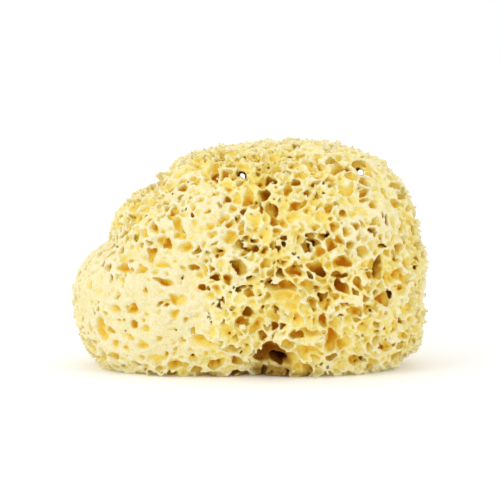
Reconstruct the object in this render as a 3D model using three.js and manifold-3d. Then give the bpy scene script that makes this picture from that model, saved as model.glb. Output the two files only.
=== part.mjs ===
// A natural honeycomb sea sponge: one rounded block of soft spongin fibre, full of round pores,
// trimmed flat where it grew on the rock, so that it stands on that cut.
// Millimetres, +Z up. The origin is the bottom centre of its box, and the front faces -Y.

import * as THREE from "three";
import { ConvexHull } from "three/addons/math/ConvexHull.js";
import { mergeVertices } from "three/addons/utils/BufferGeometryUtils.js";
import Module from "manifold-3d";

// Driving dimensions of the block
const FRONT_REACH = 51; // from the core point to the front of the block
const BACK_REACH = 50.6; // from the core point to its back
const FULLNESS = 2.4; // 2 is an ellipsoid, and more is boxier
const CORE = new THREE.Vector3(0, 0, 40); // every stretch of skin is seen from here
const LUMP_HEIGHT = 2.2; // broad swellings, strongest at the front and back
const KNOB_HEIGHT = 1.9; // small spines and ridges between the pores
const LIP_HEIGHT = 0.5; // how unevenly a pore's rim stands up
const BASE_Z = 0;

// The block seen from the front, anticlockwise from its right-hand side. What lies under z 0 is cut away.
const OUTLINE = [
  [74, 39], [73.8, 47], [71, 54], [70, 61], [67, 70], [62.5, 78], [56, 86], [49, 90],
  [39, 93], [28, 94.8], [16, 94.2], [6, 95], [-6, 94.4], [-16, 92.4], [-26, 89.5],
  [-34, 83.5], [-38.5, 77.5], [-48, 72.5], [-55.5, 67], [-59.5, 60], [-60, 53.5],
  [-66, 49], [-71, 42], [-74, 33], [-74, 23], [-71, 13], [-66, 5], [-61, -2],
  [-50, -8], [0, -12], [50, -8], [62, 0], [69.5, 8], [72.5, 17], [73.6, 28],
];

// The eye for which the pores of the front are placed
const EYE_DISTANCE = 1000;
const EYE_ELEVATION = THREE.MathUtils.degToRad(5);
const AIM = new THREE.Vector3(0, 0, 50);
const AIM_HEIGHT = 55.1; // the height at which the aim stands in the front pores' own upright plane

// The main pores of the front: [across, up, wide, tall, deep, lean in degrees].
// Across and up are where the eye sees the mouth, and lean turns it anticlockwise.
const FRONT_PORES = [
  // Low on the left, where the skin is smoothest
  [-54, 45.5, 5.5, 3.6, 3.5, 0], [-37, 47.5, 4.6, 2.6, 3.5, -20], [-37.5, 40.3, 7.5, 2.6, 4, -15],
  [-49.8, 28.6, 3.6, 3.8, 3.6, 0], [-44, 20.4, 4, 3.2, 3, 0], [-45.3, 14.2, 3.8, 3.4, 3.6, 0],
  [-67.6, 20.5, 3.2, 5.4, 3.5, 0], [-62.6, 18.5, 4.6, 9.5, 4, 12], [-53, 16.8, 7, 3.4, 2, 5],
  [-58.2, 8.9, 4.8, 3, 3, 0], [-31.5, 32.6, 7.6, 4.8, 4.4, 0], [-32.6, 25.7, 3.8, 4.2, 3.5, 0],
  [-33.4, 20.4, 3, 4.2, 3, 20], [-20.6, 37.4, 3.4, 2.8, 4, 0], [-15.4, 42.6, 4, 3, 4, 0],
  [-17.5, 19.5, 5.4, 4.8, 2.4, -30], [-10.3, 18, 6.4, 6.4, 2.4, 0], [-21, 13.8, 12.5, 5.8, 5, -12],
  [-8, 11.2, 9, 2.8, 3, -5], [-24.5, 8.2, 4.6, 3, 3, 0], [-23.5, 3.2, 4.8, 3, 4.5, 15],
  [-32, 5, 5, 3.2, 3, 0], [-14.8, 5.2, 6.6, 4.2, 5, 25], [-5.6, 6.2, 4.2, 3.8, 5, 0],
  // The middle, with the deepest holes
  [-3.4, 46.2, 5.4, 5.6, 5, 0], [-4, 36.8, 4.6, 2.8, 5, -20], [7, 41.3, 3.4, 3, 4, 0],
  [-0.6, 27.6, 4.8, 3.2, 5, -15], [-3.2, 24.2, 4.8, 3.4, 5, -20], [2.8, 21.4, 6, 5, 3.4, 35],
  [13, 37, 12.5, 3.8, 6, 0], [12.5, 33, 10, 5.5, 2.6, 0], [10.5, 23.4, 5, 6.6, 4, 0],
  [19, 45.4, 5, 4.8, 5, 0], [27, 46.6, 8.2, 3.6, 6, -38], [29.8, 42.2, 4.6, 4.6, 4, 0],
  [36.6, 42.6, 4.8, 3.4, 4.5, 0], [36.8, 37.8, 6.8, 3.6, 6, -45], [25, 38.2, 6, 3.8, 4, 0],
  [30.6, 32.4, 6, 4.6, 5, 0], [17.5, 29.8, 4.4, 6.5, 2.2, 0], [29.8, 24.2, 3.2, 5.2, 4.5, 10],
  [21.5, 17.6, 9, 4.2, 4.6, 0], [15.5, 13.6, 3.8, 3.6, 3.6, 0], [22.5, 9.4, 12, 4.2, 4, 5],
  // Low on the right
  [34, 15.8, 4.6, 9, 6, 0], [38.6, 14.2, 7, 4, 4.5, 10], [33.5, 8, 6, 2.4, 4, 10],
  [39, 48.6, 7, 4.4, 6, 0], [54, 46.2, 3.8, 9.5, 6, -5], [51.4, 44.4, 4.4, 4.4, 4, 0],
  [45.2, 38.7, 3.4, 5.4, 4, 30], [56.2, 33.8, 6.2, 5, 6, 30], [62.2, 43.8, 4.8, 3.4, 3.5, 0],
  [66.5, 47.4, 7.5, 3, 2.6, -8], [44.5, 27.6, 6, 4, 3.6, 10], [49.2, 29.4, 4.6, 3.6, 3, 0],
  [48.5, 20.5, 4.6, 5.6, 2.6, 0], [65.3, 17.8, 5.2, 4.6, 3, 0], [57, 12.5, 5.2, 3.4, 4.5, 25],
  [61.3, 7.8, 4.2, 5.8, 5, -30], [44.2, 6.8, 5.8, 4.2, 4.5, 0], [51.5, 5.2, 5, 3.6, 3, 0],
  [70.3, 28.5, 3, 6.5, 2.2, -15],
  // High on the left
  [-29.3, 79.4, 3.6, 3.4, 4.5, 0], [-32.4, 68.2, 4, 5, 4.5, 15], [-30.6, 62.4, 4.2, 6, 4.4, 20],
  [-35.8, 56.5, 4, 4, 4.5, 0], [-41.8, 52.4, 3.4, 4.4, 4, 0], [-27.5, 55.4, 5.2, 2.6, 3, 0],
  [-8, 59, 5.6, 6.6, 5, 0], [-1.2, 54.4, 6, 3, 4.5, 0], [-16.8, 61.4, 3.8, 5, 3.6, 0],
  [-12.8, 52.6, 4.6, 3, 4.5, 0], [-10.5, 82.2, 4.2, 4.8, 2.6, 0], [5.2, 77.2, 5, 5.2, 5, 0],
  [9.4, 70, 3.4, 7, 5, 28], [10.6, 65, 3.2, 4.4, 4, 0], [1.6, 66, 5, 5, 2.6, 0],
  // High on the right
  [16, 80.2, 3.6, 6, 4.5, -15], [36.2, 88.2, 5, 5.4, 5, 0], [33, 91.2, 5.4, 3, 4, 10],
  [24.3, 90.6, 3.6, 8, 4, 0], [20.2, 93.6, 3.6, 5, 3, 0], [41.8, 85.8, 4.6, 6, 5, 0],
  [47.2, 82.6, 4, 4, 5, 0], [56.8, 78.6, 4, 5.6, 4.6, 0], [52.4, 80.4, 4.6, 3, 3.8, 0],
  [61, 81, 4.6, 3.4, 3.8, 0], [61.2, 73.4, 4, 3.8, 4.5, 0], [19, 69.8, 7.6, 4.2, 3.8, 25],
  [32.4, 70.8, 3.6, 3.2, 4, 0], [26, 58.4, 4.6, 4.6, 6, 20], [30.5, 59.4, 3.8, 2.8, 5, 0],
  [23.4, 54.9, 3.4, 4, 5, 15], [28.6, 53.4, 4.2, 3.8, 3.5, 0], [34.4, 56.2, 5, 4.8, 4.4, 0],
  [48, 70.6, 6, 3.8, 2, 0], [57.2, 66.2, 2.6, 4.4, 4, 0], [50.8, 61.4, 3, 3.4, 4, 0],
  [60, 52, 2.8, 5, 3.2, 0], [67.6, 55, 3.4, 2.8, 2.6, 0],
];

// Canals that run on into the dark behind a pore of the front: [across, up, width, length]
const FRONT_CANALS = [
  [-5, 47.4, 4.4, 18], [-0.6, 27.4, 4.4, 17], [4.4, 17.3, 4.2, 15], [27, 46.4, 4.6, 16], [30.5, 59.2, 3.8, 18],
  [25.6, 58.6, 4.2, 16], [7.6, 83.9, 3.8, 13], [-15, 84.6, 3.4, 11], [54, 45, 4.2, 13], [-20.6, 37.4, 3, 11],
];

// Canals straight through the block, through which light shows: [across, up, width]
const THROUGH_CANALS = [[-3.8, 84.4, 4], [46.2, 85.9, 3.2]];

// The arched mouth low on the front
const ARCH = { across: 8.5, up: 8, wide: 12, tall: 7.6, deep: 22 };

// Pores of the other sides and of the cut base, where no place is known from the front
const SIDE_PORES = 164;
const FRONT_LIMIT = -0.36; // directions more to the front than this have pores from FRONT_PORES alone
const SIDE_PORE_WIDTH = [4.2, 8.6];
const SIDE_CANALS = 9;
const BASE_PORES = 18;
const BASE_PORE_WIDTH = [3.5, 8];
const FOOT = { across: -30, back: 6, clear: 9 }; // the stretch of the base that stays whole

// Fineness of the facets
const INNER_REACH = 0.74; // of a pore's inner ring, where 1 is its edge
const RIM_REACH = 1.12; // of the ring of points just outside the edge
const RING_STEP = 2.5; // between two points of a ring
const RING_SIDES = 5; // of a small pore's inner ring, and its rim has two more
const LIP_PLACE = 1.7; // as far as the rim reaches, where 1 is its edge
const LEAST_GAP = 0.65; // between two points of any pores
const SKIN_POINTS = 1500;
const SKIN_GAP = 3.3; // between the points of plain skin
const CANAL_SIDES = 6;
const GOLDEN_ANGLE = Math.PI * (3 - Math.sqrt(5));

const UP = new THREE.Vector3(0, 0, 1);
const { clamp, degToRad, lerp } = THREE.MathUtils;

// A repeatable number from 0 to 1 for item i, with a different run of numbers for each kind.
function chance(i, kind) {
  const value = Math.sin(i * 12.9898 + kind * 78.233) * 43758.5453;
  return value - Math.floor(value);
}

// A direction of an even spiral over the whole sphere.
function spiralDirection(i, count) {
  const z = 1 - (2 * (i + 0.5)) / count;
  const across = Math.sqrt(1 - z * z);
  return new THREE.Vector3(across * Math.cos(i * GOLDEN_ANGLE), across * Math.sin(i * GOLDEN_ANGLE), z);
}

// The outline as [angle, radius] round the core, in order of angle.
const spokes = OUTLINE.map(([x, z]) => [Math.atan2(z - CORE.z, x), Math.hypot(x, z - CORE.z)])
  .sort((a, b) => a[0] - b[0]);

// The outline's radius at an angle, on a smooth curve through its points.
function outlineRadius(angle) {
  const n = spokes.length;
  let i = spokes.findIndex((spoke) => spoke[0] > angle) - 1;
  if (i < 0) i = angle < spokes[0][0] ? -1 : n - 1;
  const spoke = (k) => {
    const turns = Math.floor(k / n);
    const [a, r] = spokes[k - turns * n];
    return [a + turns * 2 * Math.PI, r];
  };
  const [before, here, next, after] = [i - 1, i, i + 1, i + 2].map(spoke);
  const t = (angle - here[0]) / (next[0] - here[0]);
  const slopeHere = (next[1] - before[1]) / (next[0] - before[0]) * (next[0] - here[0]);
  const slopeNext = (after[1] - here[1]) / (after[0] - here[0]) * (next[0] - here[0]);
  const t2 = t * t;
  const t3 = t2 * t;
  return (2 * t3 - 3 * t2 + 1) * here[1] + (t3 - 2 * t2 + t) * slopeHere
    + (3 * t2 - 2 * t3) * next[1] + (t3 - t2) * slopeNext;
}

// Broad swellings at a point of the smooth block.
function lumps(p) {
  return Math.sin(p.x * 0.105 + p.z * 0.06 + 0.8) * Math.sin(p.z * 0.115 - p.x * 0.03 + 0.4)
    + 0.6 * Math.sin(p.x * 0.21 - p.z * 0.13 + p.y * 0.09 + 2.1) * Math.sin(p.z * 0.19 + p.y * 0.12 + 1.3);
}

// How far the skin is from the core in a direction, before any pore.
function skinRadius(direction) {
  const flat = Math.hypot(direction.x, direction.z);
  const outline = outlineRadius(Math.atan2(direction.z, direction.x));
  const reach = direction.y < 0 ? FRONT_REACH : BACK_REACH;
  const sum = (flat / outline) ** FULLNESS + (Math.abs(direction.y) / reach) ** FULLNESS;
  const smooth = sum ** (-1 / FULLNESS);
  const swelling = LUMP_HEIGHT * Math.abs(direction.y) * lumps(direction.clone().multiplyScalar(smooth));
  return smooth + swelling;
}

function skinPoint(direction) {
  return direction.clone().multiplyScalar(skinRadius(direction)).add(CORE);
}

// The eye's own directions, and the point of the skin that it sees at a place in the front's upright plane.
const FORWARD = new THREE.Vector3(0, Math.cos(EYE_ELEVATION), -Math.sin(EYE_ELEVATION));
const EYE_UP = new THREE.Vector3(0, Math.sin(EYE_ELEVATION), Math.cos(EYE_ELEVATION));
const EYE = AIM.clone().addScaledVector(FORWARD, -EYE_DISTANCE);

function sightLine(across, up) {
  const target = AIM.clone().addScaledVector(EYE_UP, up - AIM_HEIGHT);
  target.x += across;
  return target.sub(EYE).normalize();
}

function seenPoint(across, up) {
  const ray = sightLine(across, up);
  const nearest = EYE_DISTANCE - FRONT_REACH - 10;
  const at = (distance) => EYE.clone().addScaledVector(ray, distance);
  const inside = (p) => {
    const arm = p.clone().sub(CORE);
    const length = arm.length();
    return length < skinRadius(arm.divideScalar(length));
  };
  for (let distance = nearest; distance < EYE_DISTANCE + BACK_REACH; distance += 0.5)
    if (inside(at(distance))) return at(distance);
  const arm = at(EYE_DISTANCE - FRONT_REACH / 5).sub(CORE).normalize(); // beside the block: its nearest skin
  return skinPoint(arm);
}

// A pore: its mouth's centre, two half widths along the skin, and how deep it goes towards the core.
function makePore(mouth, wide, tall, deep, lean) {
  const outward = mouth.clone().sub(CORE).normalize();
  const level = new THREE.Vector3().crossVectors(UP, outward);
  if (level.lengthSq() < 1e-6) level.set(1, 0, 0);
  level.normalize().applyAxisAngle(outward, degToRad(lean));
  const upright = new THREE.Vector3().crossVectors(outward, level);
  return { mouth, outward, level, upright, halfWide: wide / 2, halfTall: tall / 2, deep };
}

function frontPores() {
  return FRONT_PORES.map(([across, up, wide, tall, deep, lean]) =>
    makePore(seenPoint(across, up), wide, tall, deep, lean));
}

function sidePores() {
  const pores = [];
  for (let i = 0; i < SIDE_PORES; i++) {
    const direction = spiralDirection(i, SIDE_PORES);
    direction.x += 0.13 * (chance(i, 1) - 0.5);
    direction.y += 0.13 * (chance(i, 2) - 0.5);
    direction.normalize();
    const mouth = skinPoint(direction);
    if (direction.y < FRONT_LIMIT || mouth.z < BASE_Z - 3) continue;
    const wide = lerp(...SIDE_PORE_WIDTH, chance(i, 3) ** 1.6);
    const tall = wide * lerp(0.55, 1, chance(i, 4));
    pores.push(makePore(mouth, wide, tall, lerp(0.55, 0.95, chance(i, 5)) * tall, 180 * chance(i, 6)));
  }
  return pores;
}

// Where a direction meets a pore: 0 is its centre, 1 its edge, and more is outside it.
function placeInPore(pore, direction) {
  if (direction.dot(pore.outward) < 0.8) return Infinity;
  const arm = direction.clone().multiplyScalar(pore.mouth.distanceTo(CORE));
  return (arm.dot(pore.level) / pore.halfWide) ** 2 + (arm.dot(pore.upright) / pore.halfTall) ** 2;
}

// How far the skin is pressed in, in a direction: a pore's floor is round, and its wall steep at the rim.
function skinRelief(pores, direction, i) {
  const places = pores.map((pore) => placeInPore(pore, direction));
  const depth = Math.max(...places.map((place, k) => pores[k].deep * Math.sqrt(Math.max(0, 1 - place * place))));
  if (depth > 0) return depth;
  const height = Math.min(...places) < LIP_PLACE ? LIP_HEIGHT : KNOB_HEIGHT;
  return -height * (chance(i, 7) - 0.55) * Math.min(1, Math.abs(direction.y) + 0.3);
}

// Directions for the skin's points: each pore's centre, inner ring and rim, then plain skin between them.
function skinDirections(pores) {
  const kept = [];
  const keep = (point, gap) => {
    if (kept.some((other) => other.distanceToSquared(point) < gap * gap)) return;
    kept.push(point);
  };
  for (const reach of [0, INNER_REACH, RIM_REACH])
    for (const pore of pores) {
      const around = 2 * Math.PI * Math.sqrt(pore.halfWide * pore.halfTall);
      const count = clamp(Math.round(around / RING_STEP), RING_SIDES, RING_SIDES + 2) + (reach > 1 ? 2 : 0);
      for (let i = 0; i < (reach ? count : 1); i++) {
        const turn = ((i + reach / 2) / count) * 2 * Math.PI;
        keep(pore.mouth.clone()
          .addScaledVector(pore.level, reach * pore.halfWide * Math.cos(turn))
          .addScaledVector(pore.upright, reach * pore.halfTall * Math.sin(turn)), LEAST_GAP);
      }
    }
  for (let i = 0; i < SKIN_POINTS; i++) {
    const point = skinPoint(spiralDirection(i, SKIN_POINTS));
    if (point.z > BASE_Z - 8 || i % 4 === 0) keep(point, SKIN_GAP);
  }
  return kept.map((point) => point.sub(CORE).normalize());
}

// The skin with its pores pressed in: the directions' convex hull on a sphere gives the facets.
function skinGeometry(pores) {
  const directions = skinDirections(pores);
  const hull = new ConvexHull().setFromPoints(directions);
  const places = new Map(directions.map((direction, i) => [direction, i]));
  const positions = directions.flatMap((direction, i) => {
    const onSkin = skinPoint(direction);
    return onSkin.addScaledVector(direction, -skinRelief(pores, direction, i)).toArray();
  });
  const index = hull.faces.flatMap((face) => {
    const first = face.getEdge(0);
    return [first, first.next, first.prev].map((edge) => places.get(edge.head().point));
  });
  return new THREE.BufferGeometry()
    .setAttribute("position", new THREE.Float32BufferAttribute(positions, 3))
    .setIndex(index);
}

// A closed canal from an outer mouth inwards along +Z: a tapering shaft with a round end.
function canalGeometry(width, length, outside) {
  const radius = width / 2;
  const profile = [[0, -outside], [radius * 1.25, -outside], [radius, radius], [radius * 0.75, length * 0.75],
    [0, length]].map(([r, z]) => new THREE.Vector2(r, z));
  return new THREE.LatheGeometry(profile, CANAL_SIDES).rotateX(Math.PI / 2);
}

function pointAlong(geometry, axis, start) {
  geometry.applyQuaternion(new THREE.Quaternion().setFromUnitVectors(UP, axis));
  return geometry.translate(start.x, start.y, start.z);
}

// The canals behind the front's darkest pores, each bent a little off the line of sight.
function frontCanals() {
  return FRONT_CANALS.map(([across, up, width, length], i) => {
    const axis = sightLine(across, up);
    axis.x += 0.5 * (chance(i, 8) - 0.5);
    axis.z += 0.5 * (chance(i, 9) - 0.3);
    return pointAlong(canalGeometry(width, length, 4), axis.normalize(), seenPoint(across, up));
  });
}

function throughCanals() {
  return THROUGH_CANALS.map(([across, up, width]) => {
    const axis = sightLine(across, up);
    const length = 2 * (FRONT_REACH + BACK_REACH);
    const tube = new THREE.CylinderGeometry(width / 2, width / 2, length, CANAL_SIDES).rotateX(Math.PI / 2);
    return pointAlong(tube, axis, seenPoint(across, up).addScaledVector(axis, FRONT_REACH));
  });
}

// Deep canals of the sides and the back, each pointing at the core.
function sideCanals() {
  return Array.from({ length: SIDE_CANALS }, (_, i) => {
    const turn = Math.PI * (0.05 + (0.9 * (i + 0.5)) / SIDE_CANALS);
    const rise = lerp(-0.35, 0.75, chance(i, 10));
    const direction = new THREE.Vector3(Math.cos(turn), Math.sin(turn), rise).normalize();
    const length = lerp(10, 18, chance(i, 11));
    const tube = canalGeometry(lerp(3.2, 4.6, chance(i, 12)), length, 4);
    return pointAlong(tube, direction.clone().negate(), skinPoint(direction));
  });
}

// Round canals that the flat cut has opened.
function basePores() {
  const pores = [];
  for (let i = 0; pores.length < BASE_PORES; i++) {
    const reach = Math.sqrt((i + 0.5) / 28);
    const x = 56 * reach * Math.cos(i * GOLDEN_ANGLE);
    const y = 27 * reach * Math.sin(i * GOLDEN_ANGLE);
    if (Math.hypot(x - FOOT.across, y - FOOT.back) < FOOT.clear) continue;
    const width = lerp(...BASE_PORE_WIDTH, chance(i, 13) ** 2);
    const length = width * lerp(0.8, 1.5, chance(i, 14));
    pores.push(canalGeometry(width, length, 5).translate(x, y, BASE_Z));
  }
  return pores;
}

function archHollow() {
  const { across, up, wide, tall, deep } = ARCH;
  const mouth = seenPoint(across, up);
  return new THREE.IcosahedronGeometry(1, 2)
    .scale(wide / 2, deep / 2, tall / 2)
    .translate(mouth.x, mouth.y + deep / 4, mouth.z);
}

const wasm = await Module();
wasm.setup();

// A closed geometry as a solid, with its shared vertices merged and its faces turned out.
function solidOf(geometry) {
  const bare = geometry.clone();
  bare.deleteAttribute("normal");
  bare.deleteAttribute("uv");
  const merged = mergeVertices(bare, 1e-4);
  const triVerts = new Uint32Array(merged.index.array);
  const vertProperties = new Float32Array(merged.attributes.position.array);
  const solid = new wasm.Manifold(new wasm.Mesh({ numProp: 3, vertProperties, triVerts }));
  if (solid.volume() > 0) return solid;
  for (let i = 0; i < triVerts.length; i += 3)
    [triVerts[i + 1], triVerts[i + 2]] = [triVerts[i + 2], triVerts[i + 1]];
  return new wasm.Manifold(new wasm.Mesh({ numProp: 3, vertProperties, triVerts }));
}

function geometryOf(solid) {
  const mesh = solid.getMesh();
  return new THREE.BufferGeometry()
    .setAttribute("position", new THREE.BufferAttribute(new Float32Array(mesh.vertProperties), 3))
    .setIndex(new THREE.BufferAttribute(new Uint32Array(mesh.triVerts), 1));
}

// The whole sponge: the pored skin, less what lies under the cut and less every canal.
function spongeGeometry() {
  const block = solidOf(skinGeometry([...frontPores(), ...sidePores()]));
  const below = 40;
  const underside = new THREE.BoxGeometry(400, 400, below).translate(0, 0, BASE_Z - below / 2);
  const cutters = [underside, archHollow(), ...frontCanals(), ...throughCanals(),
    ...sideCanals(), ...basePores()];
  const cut = cutters.reduce((solid, cutter) => solid.subtract(solidOf(cutter)), block);
  const [largest] = cut.decompose().sort((a, b) => b.volume() - a.volume());
  const geometry = geometryOf(largest);
  geometry.computeVertexNormals();
  return geometry;
}

const spongin = new THREE.MeshStandardMaterial({
  color: new THREE.Color(0.9, 0.8, 0.5),
  roughness: 0.95,
  metalness: 0,
  flatShading: true,
});

const sponge = new THREE.Mesh(spongeGeometry(), spongin);
sponge.name = "sponge";

const part = new THREE.Group();
part.add(sponge);

export default part;
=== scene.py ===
"""A natural honeycomb sea sponge on a plain pale floor.

The sponge is carved in a field of small cells: a rounded block with a flat cut base, from which
every pore and canal is taken away. Its skin becomes a mesh in four closed slabs, and short
spines of fibre stand on its ridges. Lengths in this script are in millimetres unless a name says
otherwise, and meshes are scaled to metres as they are made.
"""

import math
from types import SimpleNamespace

import bpy
import numpy as np
import openvdb
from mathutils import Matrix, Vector


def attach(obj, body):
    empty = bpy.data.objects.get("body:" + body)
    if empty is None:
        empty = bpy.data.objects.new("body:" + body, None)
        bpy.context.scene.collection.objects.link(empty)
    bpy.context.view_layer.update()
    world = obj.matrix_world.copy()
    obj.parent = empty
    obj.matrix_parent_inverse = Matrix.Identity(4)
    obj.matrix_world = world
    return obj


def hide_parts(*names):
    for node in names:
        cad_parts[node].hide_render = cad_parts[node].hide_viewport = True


MM = 0.001

# The block, with the same values as its solid
FRONT_REACH = 51.0
BACK_REACH = 50.6
FULLNESS = 2.4
CORE = np.array([0.0, 0.0, 40.0])
LUMP_HEIGHT = 2.2
OUTLINE = [
    (74, 39), (73.8, 47), (71, 54), (70, 61), (67, 70), (62.5, 78), (56, 86), (49, 90),
    (39, 93), (28, 94.8), (16, 94.2), (6, 95), (-6, 94.4), (-16, 92.4), (-26, 89.5),
    (-34, 83.5), (-38.5, 77.5), (-48, 72.5), (-55.5, 67), (-59.5, 60), (-60, 53.5),
    (-66, 49), (-71, 42), (-74, 33), (-74, 23), (-71, 13), (-66, 5), (-61, -2),
    (-50, -8), (0, -12), (50, -8), (62, 0), (69.5, 8), (72.5, 17), (73.6, 28),
]

# The eye for which the pores of the front are placed, and the camera's frame
EYE_DISTANCE = 1000.0
EYE_ELEVATION = math.radians(5)
AIM = np.array([0.0, 0.0, 50.0])
AIM_HEIGHT = 55.1  # the height at which the aim stands in the front pores' own upright plane
FRAME_WIDTH = 209.5
FRAME_SHIFT = (-0.42, -1.5)  # from the aim to the middle of the frame, across and up

# Pores of the front: across, up, wide, tall, deep, and the lean in degrees of those that lean
LOW_LEFT = [
    (-54, 45.5, 5.5, 3.5, 5), (-37, 47.5, 4.6, 2.4, 5, -20), (-40, 45, 1.8, 3.6, 3, 15),
    (-37.5, 40.3, 7.5, 2.4, 6, -15), (-49.8, 28.6, 3.6, 3.8, 6), (-44.1, 26.7, 1.8, 2, 3),
    (-39.3, 27.3, 1.7, 1.9, 3), (-44, 20.4, 4, 3, 4), (-45.3, 14.2, 3.6, 3, 5),
    (-67.6, 20.5, 2.8, 5.4, 4), (-63, 20, 4.5, 9, 6, 15), (-59.7, 19.2, 3, 2.6, 5),
    (-53, 16.8, 7, 3, 2.4), (-50.6, 17, 1, 1, 5), (-58.2, 8.9, 4.5, 2.6, 4),
    (-47.8, 5.4, 4, 1.5, 5), (-47.2, 1.2, 4.2, 2.4, 6), (-41.5, 7.5, 3, 5, 1.8, -35),
    (-65, 29, 1.6, 1.4, 3), (-71, 28.2, 3.2, 3.4, 2), (-62, 34.8, 2.5, 2.5, 1.2),
    (-58.5, 28.5, 5, 3, 1.6), (-68.5, 39.5, 3, 4, 1.2), (-64.5, 41, 2.6, 3.6, 1.2),
    (-56, 33.5, 1.8, 1.4, 1.4), (-33, 32.7, 4, 4.4, 6), (-29.8, 32.4, 5.2, 4.6, 4),
    (-32.6, 25.7, 3.6, 4.2, 4.5), (-34, 21.5, 2.2, 3, 3), (-33, 19.6, 2, 2.2, 4),
    (-20.8, 37.6, 2.8, 2.6, 9), (-18.8, 37, 1.4, 1.2, 6), (-15.4, 42.6, 3.8, 2.6, 8),
    (-20, 40.6, 3, 1.4, 2), (-11.4, 38, 2.4, 1.6, 1.6), (-29.5, 46.6, 4.4, 1.4, 3, -38),
    (-12.6, 32.6, 1.6, 1.2, 5), (-13.7, 31, 1, 1.8, 7), (-7.8, 30, 2.4, 2.6, 1.8),
    (-11, 27.2, 1.8, 2.8, 1.4), (-17.5, 24.8, 3, 1.2, 1.6), (-17.5, 19.5, 5.2, 4.6, 3, -30),
    (-10.3, 18, 6.4, 6.4, 3), (-21, 13.8, 12, 5.6, 6, -12), (-8, 11.4, 9, 2.4, 5, -5),
    (-24.5, 8.2, 4.4, 2.6, 4), (-25.3, 9, 1.2, 1.2, 8), (-23.5, 3.2, 4.8, 2.8, 6, 15),
    (-32, 5, 5, 3, 4), (-33.5, 1, 5, 2.4, 8), (-14.8, 5.2, 6.4, 4, 6, 25), (-5.6, 6.2, 4, 3.6, 7),
    (-55, 0.8, 4, 2.4, 5), (-39, 0.4, 4, 2.4, 5), (-20, 0.6, 7, 3.2, 7), (-6, 1, 4.6, 3, 8),
]
LOW_MIDDLE = [
    (-5, 47.4, 4.2, 3.4, 17), (-2.5, 45, 3.4, 4.2, 10), (-6.7, 38, 1.4, 1.2, 10),
    (-4.2, 36.8, 2.6, 2.2, 12), (-2.4, 37.8, 2.6, 1.1, 10), (-0.3, 35.2, 3.2, 1.9, 5),
    (0.7, 42, 1.9, 1.8, 9), (7, 41.3, 3, 2.6, 9), (-0.6, 27.6, 4.8, 3, 16, -15),
    (-3.2, 24.2, 4.8, 3.4, 8, -20), (3, 21.2, 6, 5, 4.5, 35), (4.4, 17.3, 3.4, 4, 14),
    (9.8, 8.2, 13.4, 10.6, 11.5), (11.6, 6.4, 7, 4.4, 19), (5.5, 2, 2.4, 4.4, 9),
    (14.7, 2.2, 1.8, 2.2, 12), (22.5, 1.5, 5, 6, 9), (12.8, 44, 2.6, 3, 8),
    (18.7, 45.2, 4.6, 4.8, 8), (21.7, 47, 1.4, 1.6, 10), (27, 46.6, 8, 3.4, 14, -38),
    (29.8, 42.2, 4.6, 4.6, 5), (24.8, 43, 1.2, 4, 7, 25), (36, 42.7, 3.8, 3.4, 7),
    (38.8, 42.5, 3.6, 1.8, 9), (36.8, 37.8, 6.8, 3.4, 10, -45), (24.6, 38.2, 5.6, 3.8, 5),
    (27.2, 37.6, 1.6, 2, 6), (30, 33.6, 3.6, 3.4, 10), (31, 31.2, 6.4, 3, 5), (34.3, 33, 3, 3.6, 4),
    (13.5, 37.4, 12.5, 3.4, 9), (14.5, 34, 10, 5, 4), (10, 38.7, 4.5, 1.1, 12),
    (17.5, 30.5, 5, 7, 3), (10, 24.6, 2.8, 8, 4), (9.8, 21.7, 2.6, 3.2, 8),
    (12.9, 22.2, 1.8, 2.2, 6), (25.4, 31, 2, 5, 4, 15), (29.8, 24.2, 2.8, 5, 7, 10),
    (19.5, 17.8, 5, 3.4, 8), (23, 17.6, 9, 4, 5), (15.5, 13.6, 3.2, 3.6, 5), (22.5, 9.4, 12, 4, 5),
    (34, 15.8, 4.6, 9, 8), (37.5, 14, 7, 4, 6), (40.5, 15.6, 4, 2, 4), (33.5, 8, 5, 1.8, 6, 10),
    (37.4, 25.2, 1.2, 1.2, 4), (33, 0.6, 5, 2.8, 6), (42, 0.8, 4, 3, 5), (50, 0.6, 4.4, 2.4, 5),
]
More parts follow.
